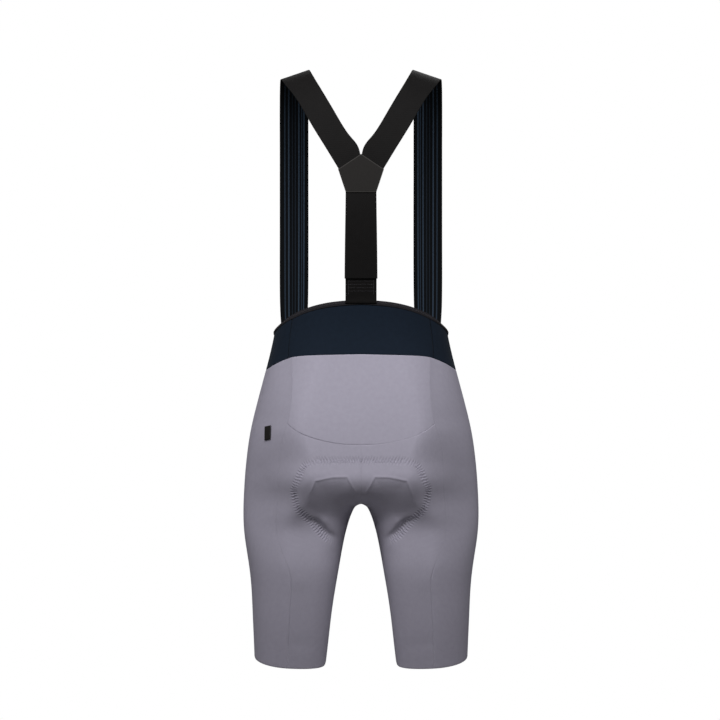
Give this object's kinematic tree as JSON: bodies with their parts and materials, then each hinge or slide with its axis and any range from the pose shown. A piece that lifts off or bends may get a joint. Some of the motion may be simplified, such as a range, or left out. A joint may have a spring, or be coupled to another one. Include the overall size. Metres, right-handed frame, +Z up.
{
  "type": "cycling bib shorts",
  "caption": "Cycling bib shorts filled out as worn: close-fitting hollow shorts with a navy waist band, a sewn-in seat pad and wide shoulder straps that meet in a Y over the back.",
  "frame": {"origin": "midway between the two straps at the top of the shoulders, where the wearer's shoulders hold the garment up", "axes": "+Z up, +Y towards the wearer's front, +X towards the wearer's right"},
  "size_m": [0.3652, 0.2483, 0.9226],
  "materials": {
    "lilac_knit": "matt grey-mauve warp knit",
    "navy_knit": "matt navy knit",
    "elastic": "black woven elastic, striped inside",
    "label": "smooth black label cloth",
    "pad_foam": "brushed cover cloth over foam"
  },
  "bodies": {
    "root": {"waist_binding": "elastic", "back_band": "navy_knit", "side_band_left": "navy_knit", "side_band_right": "navy_knit", "front_band": "navy_knit", "back_yoke": "lilac_knit", "seat_left": "lilac_knit", "seat_right": "lilac_knit", "side_left": "lilac_knit", "side_right": "lilac_knit", "front_left": "lilac_knit", "front_right": "lilac_knit", "pad": "pad_foam", "strap_left": "elastic", "strap_right": "elastic", "spine_strap": "elastic", "spine_tab": "elastic", "y_label": "label", "hip_label": "label"}
  },
  "joints": []
}
